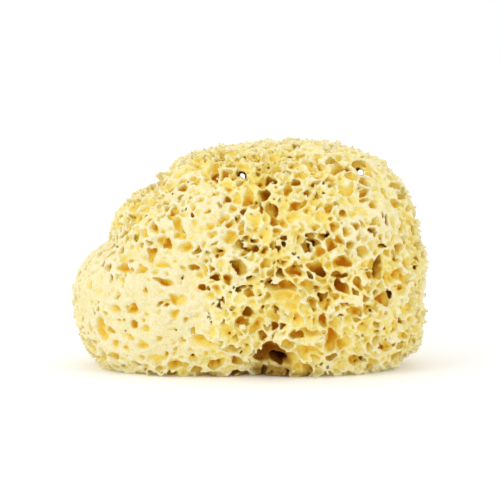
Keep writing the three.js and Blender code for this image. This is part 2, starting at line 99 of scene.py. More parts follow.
LOW_RIGHT = [
    (39, 48.6, 6.8, 4, 8), (54, 46.5, 3.4, 9.5, 11, -5), (51.5, 43.8, 4.5, 3.2, 5),
    (51.8, 47.4, 3, 3.2, 5), (45.2, 38.7, 3.2, 5.4, 5, 30), (43.6, 35.7, 3, 1.4, 5, -20),
    (55.8, 33.2, 6, 4.8, 7), (57.3, 35.4, 2.6, 2.4, 10), (62.2, 43.8, 4.5, 3, 4),
    (66, 47.6, 5.5, 2.6, 3), (70.5, 46.8, 4.5, 2, 2.4), (65, 41.5, 3, 3.6, 2.6),
    (72, 41, 3, 3.6, 2.4), (64, 37.6, 4, 3.2, 2.4), (44.5, 27.6, 6, 3.8, 5, 10),
    (49.2, 29.2, 4.4, 3.2, 3.6), (50.6, 28.1, 1.2, 1.2, 6), (47.5, 31, 1.4, 1.2, 5),
    (54.6, 26, 2.6, 3.2, 3), (57, 27.2, 2.6, 2.6, 2.6), (60.2, 28.8, 3, 3.4, 3),
    (45, 23.9, 3.4, 2.4, 3.6), (41, 23, 3.4, 3, 3), (48.5, 20.5, 4.5, 5.5, 3),
    (56.7, 19.8, 1.3, 1.3, 5), (62.8, 23.6, 1.8, 3.6, 6, 10), (60.8, 21.2, 3, 4.6, 3),
    (65.3, 17.8, 5.2, 4.6, 4), (69.2, 20.6, 3.2, 3.8, 3), (57.2, 12.6, 5, 3, 5, 25),
    (55.3, 11.9, 2, 2, 7), (63, 13.2, 3.4, 3, 4), (60.2, 13.6, 1.3, 1.2, 5),
    (61.3, 7.8, 4, 5.6, 7, -30), (44.2, 6.8, 5.6, 3.8, 6), (46.7, 7.1, 1.6, 1.8, 7),
    (51.5, 5.2, 5, 3.4, 4), (70.3, 27, 3, 6, 2.6, -15), (71.6, 33, 2.6, 5, 2),
    (67, 31.5, 3, 4, 2.4, -30), (65.5, 29, 3, 3.2, 2.4), (49.5, 15.4, 3.6, 2.4, 3.4),
]
HIGH_LEFT = [
    (-29.3, 79.4, 3.2, 3.2, 7), (-23.4, 82.1, 2.4, 2.4, 5), (-32.2, 69.4, 3.2, 2.8, 6),
    (-33, 67.3, 3.6, 3.2, 5), (-31, 64.6, 2.6, 5.5, 5, 20), (-29.8, 60.6, 4.2, 3.6, 5),
    (-35.4, 56, 3, 3.6, 7), (-37, 57.4, 3, 3.2, 4), (-41.8, 52.4, 3, 4.2, 5),
    (-27.5, 55.4, 5, 2.4, 4), (-24.3, 67.8, 1.2, 1.8, 5), (-41, 62.6, 2.2, 1.8, 3.6),
    (-44.5, 59.8, 2.2, 1.8, 3), (-32, 85.4, 6, 2, 2.8, -20), (-39.4, 77, 2, 2.8, 2.2),
    (-35.8, 73.6, 3, 2, 2.4), (-53, 50.5, 5, 4, 2.8), (-39, 70, 2.4, 1.8, 2.4),
]
HIGH_MIDDLE = [
    (-15, 85, 2.4, 5, 9, 25), (3, 86.4, 1.8, 2.4, 9), (7.6, 83.9, 4.8, 2.6, 12, -25),
    (-10.5, 82.6, 4, 4.6, 3), (-9.5, 78.4, 2.4, 1.6, 3), (5.2, 77.2, 4.8, 5, 10),
    (-17.4, 76, 1.3, 1.2, 3), (16, 80, 3, 6, 6, -15), (18.7, 82.2, 3, 2.2, 7),
    (-3.6, 69.9, 2, 2.6, 6), (9.2, 70.2, 2.6, 6.5, 9, 30), (10.6, 65.4, 2.6, 4.2, 6),
    (1.6, 66, 5, 5, 3), (4.5, 71.3, 1.2, 4.5, 5, 20), (-16.8, 63.5, 2.4, 2.8, 4),
    (-16.5, 59.6, 3.6, 2.8, 5), (-8, 59, 5.2, 6.5, 6), (-5.4, 55.8, 2.6, 4.4, 10),
    (-0.3, 54.6, 4, 2.6, 9), (-2.5, 53.9, 4, 1.4, 9), (1.2, 57.4, 1.9, 1.5, 9),
    (9, 56.2, 2.4, 3.2, 6), (10.1, 56.7, 1.2, 1.2, 9), (11.2, 54.6, 2, 1.9, 8),
    (14.1, 59.2, 2.2, 2, 7), (14.3, 56.8, 1.6, 1.6, 8), (-12.8, 52.4, 4.4, 2.8, 5),
    (-13.9, 53.1, 2.4, 1.6, 11), (-18.8, 48.4, 1.2, 1.2, 3), (5, 60.5, 5, 4, 2.4),
    (-9.6, 65.2, 1.6, 3, 5, -30), (-4, 64.6, 2, 3, 3), (11, 88.3, 4.5, 3, 3),
    (13.7, 94.8, 3.2, 3.2, 3), (-5, 92.2, 3.2, 1.2, 3.5), (9, 51, 3, 4, 1.8),
]
HIGH_RIGHT = [
    (36.2, 88.2, 4.6, 5.2, 9), (33.5, 91.2, 5, 2.4, 6, 10), (24.3, 90.6, 3.2, 8, 5),
    (20.4, 93.8, 3.4, 5, 4), (41.3, 87.8, 3, 3, 8), (42.2, 84.2, 4.6, 4.4, 6),
    (47.2, 82.6, 3.6, 3.6, 8), (31.3, 82.8, 1.4, 2, 6), (51, 86.2, 2.6, 3, 6),
    (58, 87.6, 2.6, 2.8, 4), (46, 91, 3, 3, 4), (56.8, 78.6, 3.6, 5.5, 6),
    (52.5, 80.4, 4.4, 2.4, 5), (61, 81, 4.4, 3.2, 5), (48.4, 75.1, 5, 1.2, 6),
    (61.2, 73.4, 3.6, 3.4, 6), (19, 71.6, 7.5, 2.4, 5, 25), (18.5, 67.2, 6, 4, 3.4),
    (32.4, 70.8, 3.2, 2.8, 5), (38.9, 69.2, 2.2, 2.4, 6, -30), (36, 72.3, 2.6, 1.8, 4),
    (48, 70.6, 6, 3.5, 2.6), (57.2, 66.2, 1.6, 4.2, 6), (55.4, 68.4, 1.1, 1.8, 4),
    (43.7, 63, 2.2, 2, 6), (34.2, 63, 3, 3, 4), (27.3, 63, 2.2, 2.6, 3), (25.6, 58.9, 3.8, 3.4, 14),
    (27.3, 57, 3, 4, 10, 25), (30.5, 59.4, 3.4, 2.2, 17), (23.4, 54.9, 3, 3.8, 11, 15),
    (28.6, 53.4, 4, 3.6, 4.5), (33.6, 55.6, 3.2, 4.6, 6), (36.4, 58, 2.8, 3, 5),
    (50.5, 62, 2.2, 2.6, 8), (51.5, 60.2, 1.2, 1.4, 8), (41.6, 55.8, 1.4, 3, 6, 30),
    (55.1, 55.8, 2.4, 1.2, 7, -30), (40.2, 52.7, 1.6, 1.2, 4, -30), (20.5, 50.7, 1.2, 1.2, 3),
    (60, 52, 2, 5, 4), (67.6, 55, 3.2, 2, 3), (64.2, 58.8, 2.6, 3, 2.6), (68, 64, 3, 5, 2.4, 10),
    (57, 53, 2.6, 2.4, 2.4), (66, 68, 2.6, 4, 2),
]
FRONT_PORES = LOW_LEFT + LOW_MIDDLE + LOW_RIGHT + HIGH_LEFT + HIGH_MIDDLE + HIGH_RIGHT

# Canals right through the sponge: across, up, wide
THROUGH_CANALS = [(-3.8, 84.4, 2.6), (46.2, 85.9, 2.8)]
THROUGH_SPREAD = 0.013  # how much wider they get inwards, per millimetre

# How the front's pores run
SIGHT_SHARE = 0.55  # of the line of sight in a pore's axis
INWARD_SHARE = 0.45  # of the way straight in
LEDGE_WIDTH = 8  # a pore wider than this runs up under a ledge
LEDGE_HEIGHT = 40  # if it is lower than this
LEDGE_RISE = 0.45
CANAL_DEPTH = 9.5  # a pore as deep as this is a canal, and any other is a cup
CUP_DEPTH = (0.75, 0.42)  # factor on a cup's listed depth, among pores and in the felt
BENT_DEPTH = 7.0  # a pore as deep as this bends off the line of sight
STRAIGHT_DEPTH = 19.0  # but one as deep as this runs straight
SLIGHT_BEND = 0.045
FULL_BEND = 0.06
FRONT_FLARE = (0.42, 0.3)  # of the mouths, among pores and in the felt

# Larger pores of the other sides and of the base, with the same values as their solids
SIDE_PORES = 164
FRONT_LIMIT = -0.36  # of a direction's y, since the front has its own pores
SIDE_LOWEST = -3  # of their mouths
SIDE_SCATTER = 0.13
SIDE_PORE_WIDTH = (4.2, 8.6)
SIDE_PORE_SHAPE = (0.55, 1.0)  # a pore's height as a share of its width
SIDE_PORE_DEPTH = (1.0, 2.2)  # as a share of its height
SOLID_BEND = 0.04
SIDE_CANALS = 9
SIDE_CANAL_RISE = (-0.35, 0.75)
SIDE_CANAL_WIDTH = (3.2, 4.6)
SIDE_CANAL_LENGTH = (10, 18)
BASE_PORES = 18
BASE_SPOTS = 28  # places on the spiral that the base's pores are taken from
BASE_REACH = (56, 27)
BASE_PORE_WIDTH = (3.5, 8.0)
BASE_PORE_DEPTH = (0.8, 1.5)
BASE_PORE_SHAPE = 0.86
FOOT = (-30.0, 6.0, 9.0)  # the patch kept free for the mount: its middle and radius

# Small pores between the larger ones, on the skin and the base, then pinholes and dimples
FILL_TRIES = 24000
FILL_SCATTER = 0.006
FILL_WIDTH = (1.9, 5.2)
FILL_SHAPE = (0.6, 1.0)
FILL_DEPTH = (0.5, 1.4)
FILL_WALL = (0.0, 1.3)  # fibre left between two shafts, among pores and in the felt
FILL_FLARE = (0.65, 0.15)  # among pores and in the felt
FILL_TILT = 0.16
FELT_SPARING = 0.86  # the share of them that the felt goes without
FELT_FINENESS = 0.35  # how much narrower they are there
FILL_LOWEST = -1.5  # of their mouths
SKIN_BEND = 0.05
BASE_FILL_TRIES = 1500
BASE_FILL_REACH = (64, 42)
BASE_FILL_WIDTH = (1.6, 4.4)
BASE_FILL_DEPTH = (0.7, 1.8)
BASE_FILL_WALL = 0.9
BASE_FILL_TILT = 0.25
PINHOLES = 2600
PINHOLE_WIDTH = (0.9, 1.7)
PINHOLE_DEPTH = (1, 2.6)
PINHOLE_SUNK = (0, 4)  # how far below the skin they start
PINHOLE_TILT = 0.7
PINHOLE_SHAPE = (0.7, 1)
PINHOLE_OUTSIDE = (0.8, 1.6)  # how far their shafts are carried on outwards
PINHOLE_LOWEST = 0.5
PINHOLE_SPARING = 0.8  # the share of them that the felt goes without
DIMPLES = 8000
DIMPLE_WIDTH = (1.2, 3.2)
DIMPLE_DEPTH = (0.25, 0.75)
DIMPLE_SHAPE = (0.6, 1)
DIMPLE_TILT = 0.3
DIMPLE_FLARE = 0.3
DIMPLE_OUTSIDE = 3.5
DIMPLE_LOWEST = 0
DIMPLE_SPARING = 0.3
DIMPLE_FINENESS = 0.3  # how much narrower they are in the felt
DIMPLE_SHALLOWNESS = 0.35  # and how much shallower for their width
SKIN_TRIM = 0.42  # taken off the block's skin, since its roughness stands up from it

# The skin stands up in points, conules, where three pores or more leave fibre between them
CONULE_HEIGHT = 1.5
CONULE_FOOT = 0.3  # how far from the nearest pore they start
CONULE_RISE = 0.9  # and how much further on they reach their full height
CONULE_SPARING = 0.7  # how much lower they are in the felt
HALF_WALL = 0.42  # of the thin walls that are left where pores have grown against each other
GROWTH = (1.1, 0.1)  # how far pores grow at their mouths, among pores and in the felt
GROWTH_REACH = 7.0  # depth over which that growth fades
GROWTH_SWING = (7.5, 0.72, 0.5)  # the length over which it varies, its mean and its swing
GROWTH_LIMITS = (0.05, 1.3)
WALL_SWING = (1.8, 0.22)  # the same length and swing for the thin walls
LOBE_SHARE = 0.17  # how far a pore's outline departs from an ellipse

# Patches of felt, where the skin is smoother with fewer pores: middle, reach and share
FRONT_FELT = [(-47, 30, 37, 33, 1.0), (-23, 61, 23, 25, 0.62), (47, 62, 16, 15, 0.5)]
BACK_FELT = [(34, 30, 30, 22, 1.0)]
FELT_EDGE = 2.6  # how steeply a patch sets in
FELT_FRONT = 12  # the front's felt has faded out this far back
FELT_BACK = 10  # and the back's sets in from here
FELT_FADE = 20

# Unevenness: pairs of the length over which it changes and its strength
WARP_LAYERS = [(5.5, 0.6), (2.9, 0.5), (1.4, 0.42), (0.9, 0.13)]
# The same for the skin, with its strength among pores and in the felt
SWELL = (8, 1.3, 0.5)
ROUGH_LAYERS = [(2.9, 1.0, 0.4), (1.4, 0.68, 0.24), (0.95, 0.5, 0.22)]

# The field of cells
CELL = 0.46
FIELD_LOW = np.array([-78.0, -57.0, -2.0])
FIELD_HIGH = np.array([78.0, 57.0, 98.5])
FIELD_SHAPE = tuple(int(n) for n in np.ceil((FIELD_HIGH - FIELD_LOW) / CELL))
SHAFT_OUTSIDE = 5.0  # how far a pore's shaft is carried on outside the skin
MOUTH_REACH = 1.3  # depth over which a pore's flare fades
END_ROUNDNESS = 1.6  # length of a pore's rounded end, as a share of its least half width
CARVE_MARGIN = 2.0
FAR = 9.0  # a distance beyond any that matters
SEAMS = (-60.0, -28.0, 0.0, 28.0, 60.0)  # where the mesh is parted into slabs, from front to back
SEAM_OVERLAP = 0.5  # how far each slab reaches past its seams, into the next
MOST_FACES = 180000  # of each slab, in triangles

SPINES = 1200
SPINE_LENGTH = (0.4, 1.3)
SPINE_SIDES = 4
SPINE_THICKNESS = (0.4, 0.68)
SPINE_RINGS = [(-0.35, 1.0), (0.45, 0.55)]  # where along it, and how thick there
SPINE_RIDGE = 0.46  # no spine stands where more than this share of its surroundings is fibre
SPINE_DEPTH = 4.5  # and few stand deeper than this
SPINE_FOOT = 1.2  # and none lower than this
SPINE_SPARING = 0.75
SPINE_TILT = 0.42
SPINE_LEAN = 0.16

# The shaded hollow under the front, where shade is painted into the fibre's colour: its middle and
# its reach, across and up
CAVERN_MIDDLE = (8.4, 5.0)
CAVERN_REACH = (8.4, 9.4)
RIM_SHADE_BAND = (4, 24, 3.2)  # the base's rim beside it, with painted shade in its pits: its middle, its reach and its height

# Linear tints that the fibre's colour is multiplied by: painted shade for the hollow and the rim,
# then the specks' two tints
PAINTED_SHADE_TINT = (0.44, 0.3, 0.115, 1)
SPECK_TINTS = ((0.9, 0.86, 0.7, 1), (1.02, 1.02, 1.02, 1))

# What the fibre's colour goes by, with shade painted deeper in the pores and where fibre closes
# round
HOLLOW_REACHES = (1.6, 3.6)  # how far round a place its fibre is counted
RIDGE_REACH = 1.0  # the same where spines are placed
COLOUR_DEPTH = (0.3, 12.5)  # from the ridges' colour to the deepest, over which painted shade grows
COLOUR_POWER = 0.85
ENCLOSED_SHADE_LEVELS = [(0.34, 0.8, 0.28), (0.62, 0.86, 0.5)]  # painted shade where fibre closes round: from and to a share of fibre, by how much
MOTTLE = 0.22
SPECK_LEVELS = (0.33, 0.62)
BUMP_HEIGHT = 0.0005  # metres

# Stops of the fibre's colour, from the ridges to the deepest: the place, and the colour as seen;
# beyond the ridges' own cream they are painted shade and light bounced in the pores
PORED_STOPS = [
    (0.0, 250, 241, 200), (0.12, 248, 236, 169), (0.3, 247, 228, 127),
    (0.52, 245, 212, 90), (0.76, 238, 188, 52), (1.0, 223, 148, 26),
]
FELTED_STOPS = [
    (0.0, 244, 237, 203), (0.14, 243, 230, 173), (0.32, 246, 222, 114),
    (0.6, 244, 208, 77), (1.0, 230, 162, 36),
]

FLOOR_REACH = 6000.0
SENSOR_WIDTH = 36.0

# The soft light, in metres
LIGHT_PLACE = Vector((-0.75, -0.8, 0.95))
LIGHT_TARGET = Vector((0, 0, 0.05))
LIGHT_SIZE = 0.7
LIGHT_POWER = 3.2

SEED = 7
GOLDEN_ANGLE = math.pi * (3 - math.sqrt(5))


def unit(v):
    return v / np.linalg.norm(v, axis=-1, keepdims=True)


def lerp(a, b, t):
    return a + (b - a) * t


def chance(i, kind):
    """A repeatable number from 0 to 1 for item i, with a different run of numbers for each kind."""
    value = np.sin(i * 12.9898 + kind * 78.233) * 43758.5453
    return value - np.floor(value)


def spiral_directions(count):
    i = np.arange(count)
    z = 1 - (2 * (i + 0.5)) / count
    across = np.sqrt(1 - z * z)
    return np.stack([across * np.cos(i * GOLDEN_ANGLE), across * np.sin(i * GOLDEN_ANGLE), z], 1)


# The block's skin


def outline_table():
    """The outline's radius round the core for evenly spaced angles, on a smooth curve."""
    spokes = [(math.atan2(z - CORE[2], x), math.hypot(x, z - CORE[2])) for x, z in OUTLINE]
    angle, radius = np.array(sorted(spokes)).T
    turn = 2 * math.pi
    angle = np.concatenate([angle[-2:] - turn, angle, angle[:2] + turn])
    radius = np.concatenate([radius[-2:], radius, radius[:2]])
    slope = np.zeros_like(radius)
    slope[1:-1] = (radius[2:] - radius[:-2]) / (angle[2:] - angle[:-2])
    at = np.linspace(-math.pi, math.pi, 4096)
    k = np.clip(np.searchsorted(angle, at, side="right") - 1, 1, len(angle) - 3)
    span = angle[k + 1] - angle[k]
    t = (at - angle[k]) / span
    values = (
        (2 * t**3 - 3 * t**2 + 1) * radius[k]
        + (t**3 - 2 * t**2 + t) * span * slope[k]
        + (3 * t**2 - 2 * t**3) * radius[k + 1]
        + (t**3 - t**2) * span * slope[k + 1]
    )
    return at.astype(np.float32), values.astype(np.float32)


OUTLINE_ANGLES, OUTLINE_RADII = outline_table()


def lumps(x, y, z):
    broad = np.sin(x * 0.105 + z * 0.06 + 0.8) * np.sin(z * 0.115 - x * 0.03 + 0.4)
    fine = np.sin(x * 0.21 - z * 0.13 + y * 0.09 + 2.1) * np.sin(z * 0.19 + y * 0.12 + 1.3)
    return broad + 0.6 * fine


def skin_radius(dx, dy, dz):
    """How far the skin is from the core in each direction, before any pore."""
    flat = np.hypot(dx, dz)
    outline = np.interp(np.arctan2(dz, dx), OUTLINE_ANGLES, OUTLINE_RADII).astype(flat.dtype)
    reach = np.where(dy < 0, FRONT_REACH, BACK_REACH).astype(flat.dtype)
    total = (flat / outline) ** FULLNESS + (np.abs(dy) / reach) ** FULLNESS
    smooth = np.maximum(total, 1e-6) ** (-1 / FULLNESS)
    return smooth + LUMP_HEIGHT * np.abs(dy) * lumps(dx * smooth, dy * smooth, dz * smooth)


def above_skin(points):
    """Height of each point above the skin, which is below 0 inside the block."""
    arm = points - CORE.astype(points.dtype)
    length = np.maximum(np.linalg.norm(arm, axis=-1), 1e-6)
    along = [arm[..., k] / length for k in range(3)]
    return length - skin_radius(*along)


def skin_points(directions):
    radius = skin_radius(directions[:, 0], directions[:, 1], directions[:, 2])
    return CORE + directions * radius[:, None]


def skin_normals(points):
    step = 0.5
    slopes = [above_skin(points + step * e) - above_skin(points - step * e) for e in np.eye(3)]
    return unit(np.stack(slopes, -1))


# The eye that the front's pores are placed for

FORWARD = np.array([0.0, math.cos(EYE_ELEVATION), -math.sin(EYE_ELEVATION)])
EYE_UP = np.array([0.0, math.sin(EYE_ELEVATION), math.cos(EYE_ELEVATION)])
ACROSS = np.array([1.0, 0.0, 0.0])
EYE = AIM - EYE_DISTANCE * FORWARD


def sight_line(across, up):
    return unit(AIM + across * ACROSS + (up - AIM_HEIGHT) * EYE_UP - EYE)


def seen_point(across, up):
    """Where the eye's line first meets the skin, or where it passes closest to it."""
    ray = sight_line(across, up)
    distance = np.arange(EYE_DISTANCE - FRONT_REACH - 10, EYE_DISTANCE + BACK_REACH, 0.25)
    points = EYE + distance[:, None] * ray
    height = above_skin(points)
    inside = np.nonzero(height < 0)[0]
    return points[inside[0]] if len(inside) else points[int(np.argmin(height))]


# Pores


def shaft(mouth, axis, level, wide, tall, deep, bend=0.0, flare=0.22, spread=0.0):
    """A pore's shaft. Its axis leads inwards, and level is the direction of its width."""
    axis = unit(np.asarray(axis, float))
    level = unit(level - axis * (level @ axis))
    return SimpleNamespace(
        mouth=np.asarray(mouth, float),
        axis=axis,
        level=level,
        upright=np.cross(axis, level),
        half=(wide / 2, tall / 2),
        deep=deep,
        bend=bend,
        flare=flare,
        spread=spread,
        outside=SHAFT_OUTSIDE,
        lobes=LOBE_SHARE,
        turn=97.0 * (mouth[0] + mouth[1] + mouth[2]),
    )


def turned(level, upright, degrees=0):
    angle = math.radians(degrees)
    return math.cos(angle) * level + math.sin(angle) * upright


def front_shafts():
    """The listed pores of the front."""
    shafts = []
    for i, (across, up, wide, tall, deep, *lean) in enumerate(FRONT_PORES):
        mouth = seen_point(across, up)
        inward = -skin_normals(mouth[None])[0]
        felt = felt_share(mouth[None])[0]
        if deep < CANAL_DEPTH:
            deep *= lerp(*CUP_DEPTH, felt)
        deep += SKIN_TRIM
        ray = sight_line(across, up)
        axis = SIGHT_SHARE * ray + INWARD_SHARE * inward
        if wide > LEDGE_WIDTH and up < LEDGE_HEIGHT:
            axis = axis + LEDGE_RISE * EYE_UP
        if deep < BENT_DEPTH:
            bend = SLIGHT_BEND * (chance(i, 20) - 0.5)
        elif deep < STRAIGHT_DEPTH:
            bend = FULL_BEND if chance(i, 21) > 0.5 else -FULL_BEND
        else:
            bend = 0
        pore = shaft(mouth, axis, turned(ACROSS, EYE_UP, *lean), wide, tall, deep, bend)
        pore.flare = lerp(*FRONT_FLARE, felt)
        shafts.append(pore)
    return shafts


def through_shafts():
    shafts = []
    for across, up, width in THROUGH_CANALS:
        length = FRONT_REACH + BACK_REACH
        mouth = seen_point(across, up)
        axis = sight_line(across, up)
        canal = shaft(mouth, axis, ACROSS, width, width, length, spread=THROUGH_SPREAD)
        canal.lobes = 0.0
        shafts.append(canal)
    return shafts


def inward_shaft(mouth, wide, tall, deep, lean, bend=0.0):
    """A pore that points at the core, as the solid's do."""
    outward = unit(mouth - CORE)
    level = np.cross([0.0, 0.0, 1.0], outward)
    level = unit(level) if np.linalg.norm(level) > 1e-3 else ACROSS
    level = turned(level, np.cross(outward, level), lean)
    return shaft(mouth, -outward, level, wide, tall, deep, bend)


def side_shafts():
    directions = spiral_directions(SIDE_PORES)
    i = np.arange(SIDE_PORES)
    directions[:, 0] += SIDE_SCATTER * (chance(i, 1) - 0.5)
    directions[:, 1] += SIDE_SCATTER * (chance(i, 2) - 0.5)
    directions = unit(directions)
    mouths = skin_points(directions)
    shafts = []
    for k in i[(directions[:, 1] >= FRONT_LIMIT) & (mouths[:, 2] >= SIDE_LOWEST)]:
        wide = lerp(*SIDE_PORE_WIDTH, chance(k, 3) ** 1.6)
        tall = wide * lerp(*SIDE_PORE_SHAPE, chance(k, 4))
        deep = lerp(*SIDE_PORE_DEPTH, chance(k, 5)) * tall
        shafts.append(inward_shaft(mouths[k], wide, tall, deep, 180 * chance(k, 6), SOLID_BEND))
    return shafts


def side_canals():
    shafts = []
    for i in range(SIDE_CANALS):
        turn = math.pi * (0.05 + (0.9 * (i + 0.5)) / SIDE_CANALS)
        rise = lerp(*SIDE_CANAL_RISE, chance(i, 10))
        direction = unit(np.array([[math.cos(turn), math.sin(turn), rise]]))
        width = lerp(*SIDE_CANAL_WIDTH, chance(i, 12))
        length = lerp(*SIDE_CANAL_LENGTH, chance(i, 11))
        shafts.append(inward_shaft(skin_points(direction)[0], width, width, length, 0))
    return shafts


def base_shafts():
    """Canals that the flat cut has opened."""
    shafts = []
    i = 0
    while len(shafts) < BASE_PORES:
        reach = math.sqrt((i + 0.5) / BASE_SPOTS)
        x = BASE_REACH[0] * reach * math.cos(i * GOLDEN_ANGLE)
        y = BASE_REACH[1] * reach * math.sin(i * GOLDEN_ANGLE)
        if math.hypot(x - FOOT[0], y - FOOT[1]) >= FOOT[2]:
            width = lerp(*BASE_PORE_WIDTH, chance(i, 13) ** 2)
            tall = width * BASE_PORE_SHAPE
            length = width * lerp(*BASE_PORE_DEPTH, chance(i, 14))
            shafts.append(shaft((x, y, 0), (0, 0, 1), ACROSS, width, tall, length, SOLID_BEND))
        i += 1
    return shafts


def felt_share(points):
    """1 where the skin is smooth felt, as low at the left, and 0 where it is all pores."""
    front = np.clip((FELT_FRONT - points[:, 1]) / FELT_FADE, 0, 1)
    back = np.clip((points[:, 1] - FELT_BACK) / FELT_FADE, 0, 1)
    felt = np.zeros(len(points))
    for patches, side in ((FRONT_FELT, front), (BACK_FELT, back)):
        for x, z, across, up, share in patches:
            inside = 1 - np.hypot((points[:, 0] - x) / across, (points[:, 2] - z) / up)
            felt = np.maximum(felt, share * np.clip(inside * side * FELT_EDGE, 0, 1))
    return felt


def fill_shafts(taken, rng):
    """Small pores thrown at the skin, each kept where there is room for it."""
    scatter = rng.normal(0, FILL_SCATTER, (FILL_TRIES, 3))
    directions = unit(spiral_directions(FILL_TRIES) + scatter)
    mouths = skin_points(directions)
    felt = felt_share(mouths)
    order = rng.permutation(FILL_TRIES)
    size = rng.random(FILL_TRIES)
    luck = rng.random((FILL_TRIES, 4))
    centres = np.zeros((FILL_TRIES + len(taken), 3))
    radii = np.zeros(len(centres))
    for k, pore in enumerate(taken):
        centres[k] = pore.mouth
        radii[k] = sum(pore.half) / 2
    count = len(taken)
    shafts = []
    for k in order:
        if mouths[k, 2] < FILL_LOWEST or luck[k, 0] < FELT_SPARING * felt[k]:
            continue
        wide = lerp(*FILL_WIDTH, size[k] ** 1.3) * (1 - FELT_FINENESS * felt[k])
        gap = np.linalg.norm(centres[:count] - mouths[k], axis=1) - radii[:count] - wide / 2
        if gap.min() < lerp(*FILL_WALL, felt[k]):
            continue
        centres[count] = mouths[k]
        radii[count] = wide / 2
        count += 1
        tall = wide * lerp(*FILL_SHAPE, luck[k, 1])
        deep = wide * lerp(*FILL_DEPTH, luck[k, 2] ** 2)
        pore = inward_shaft(mouths[k], wide, tall, deep, 180 * luck[k, 3], SKIN_BEND)
        pore.axis = unit(pore.axis + rng.normal(0, FILL_TILT, 3))
        pore.flare = lerp(*FILL_FLARE, felt[k])
        shafts.append(pore)
    return shafts


def base_fill_shafts(taken, rng):
    """Small pores thrown at the flat cut, each kept where there is room for it."""
    across, along = BASE_FILL_REACH
    shafts = []
    mouths = np.array([pore.mouth[:2] for pore in taken])
    radii = np.array([sum(pore.half) / 2 for pore in taken])
    for _ in range(BASE_FILL_TRIES):
        spot = rng.uniform((-across, -along), (across, along))
        wide = lerp(*BASE_FILL_WIDTH, rng.random() ** 1.6)
        if np.min(np.linalg.norm(mouths - spot, axis=1) - radii) < wide / 2 + BASE_FILL_WALL:
            continue
        mouths = np.vstack([mouths, spot])
        radii = np.append(radii, wide / 2)
        axis = (rng.normal(0, BASE_FILL_TILT), rng.normal(0, BASE_FILL_TILT), 1)
        tall = wide * rng.uniform(*FILL_SHAPE)
        level = turned(ACROSS, np.array([0.0, 1.0, 0.0]), rng.uniform(0, 180))
        deep = wide * rng.uniform(*BASE_FILL_DEPTH)
        shafts.append(shaft((*spot, 0), axis, level, wide, tall, deep))
    return shafts


def thrown(count, lowest, sparing, rng):
    """Random places on the skin above a height, fewer in the felt, each with the felt's share."""
    mouths = skin_points(unit(rng.normal(0, 1, (count, 3))))
    felt = felt_share(mouths)
    keep = (mouths[:, 2] > lowest) & (rng.random(count) > sparing * felt)
    return zip(mouths[keep], felt[keep])


def pinhole_shafts(rng):
    """Tiny holes that pierce the ridges and the walls of the pores."""
    shafts = []
    for mouth, _ in thrown(PINHOLES, PINHOLE_LOWEST, PINHOLE_SPARING, rng):
        wide = rng.uniform(*PINHOLE_WIDTH)
        mouth = mouth - unit(mouth - CORE) * rng.uniform(*PINHOLE_SUNK)
        axis = unit(CORE - mouth) + rng.normal(0, PINHOLE_TILT, 3)
        level = np.cross(axis, rng.normal(0, 1, 3))
        tall = wide * rng.uniform(*PINHOLE_SHAPE)
        pit = shaft(mouth, axis, level, wide, tall, rng.uniform(*PINHOLE_DEPTH))
        pit.outside = rng.uniform(*PINHOLE_OUTSIDE)
        shafts.append(pit)
    return shafts


def dimple_shafts(rng):
    """Shallow cups thrown anywhere on the skin, which leave its ridges ragged."""
    shafts = []
    for mouth, felt in thrown(DIMPLES, DIMPLE_LOWEST, DIMPLE_SPARING, rng):
        wide = lerp(*DIMPLE_WIDTH, rng.random() ** 1.5) * (1 - DIMPLE_FINENESS * felt)
        deep = wide * rng.uniform(*DIMPLE_DEPTH) * (1 - DIMPLE_SHALLOWNESS * felt)
        tall = wide * rng.uniform(*DIMPLE_SHAPE)
        pore = inward_shaft(mouth, wide, tall, deep, rng.uniform(0, 180))
        pore.axis = unit(pore.axis + rng.normal(0, DIMPLE_TILT, 3))
        pore.flare = DIMPLE_FLARE
        pore.outside = DIMPLE_OUTSIDE
        shafts.append(pore)
    return shafts


# The field


def cell_axes():
    return [FIELD_LOW[k] + CELL * np.arange(FIELD_SHAPE[k], dtype=np.float32) for k in range(3)]


def spread_along(lattice, axis, step):
    """Spreads lattice values along one axis over the field's cells, on smooth cubic curves."""
    places = CELL * np.arange(FIELD_SHAPE[axis]) / step
    base = np.floor(places).astype(int)
    t = (places - base).astype(np.float32)
    parts = [
        (1 - t) ** 3 / 6,
        (3 * t**3 - 6 * t**2 + 4) / 6,
        (-3 * t**3 + 3 * t**2 + 3 * t + 1) / 6,
        t**3 / 6,
    ]
    shape = [1, 1, 1]
    shape[axis] = len(places)
    return sum(
        np.take(lattice, base + k, axis=axis) * part.reshape(shape)
        for k, part in enumerate(parts)
    )


def smooth_noise(step, rng):
    """Smooth random values over the field, about -1 to 1, that change over lengths of one step."""
    size = [int(CELL * n / step) + 5 for n in FIELD_SHAPE]
    values = rng.normal(0, 1.6, size).astype(np.float32)
    for axis in range(3):
        values = spread_along(values, axis, step)
    return values


def layered_noise(layers, rng):
    total = 0
    for step, strength in layers:
        total = total + strength * smooth_noise(step, rng)
    return total


def by_layers(axes, value):
    """A function's values for the points of the field, one layer at a time to spare memory."""
    field = np.empty(FIELD_SHAPE, np.float32)
    y, z = np.meshgrid(axes[1], axes[2], indexing="ij")
    for k, x in enumerate(axes[0]):
        points = np.stack([np.full_like(y, x), y, z], -1).reshape(-1, 3)
        field[k] = value(points).reshape(y.shape)
    return field


def shaft_window(pore):
    """The slices of the field that hold a pore with its margin."""
    top = pore.mouth - pore.axis * pore.outside
    bottom = pore.mouth + pore.axis * pore.deep
    widest = max(pore.half) * (1 + LOBE_SHARE + pore.flare + pore.spread * pore.deep)
    margin = widest + CARVE_MARGIN + abs(pore.bend) * pore.deep**2
    low = np.floor((np.minimum(top, bottom) - margin - FIELD_LOW) / CELL)
    high = np.ceil((np.maximum(top, bottom) + margin - FIELD_LOW) / CELL)
    ends = np.clip([low, high], 0, FIELD_SHAPE).astype(int)
    return tuple(slice(*pair) for pair in ends.T)


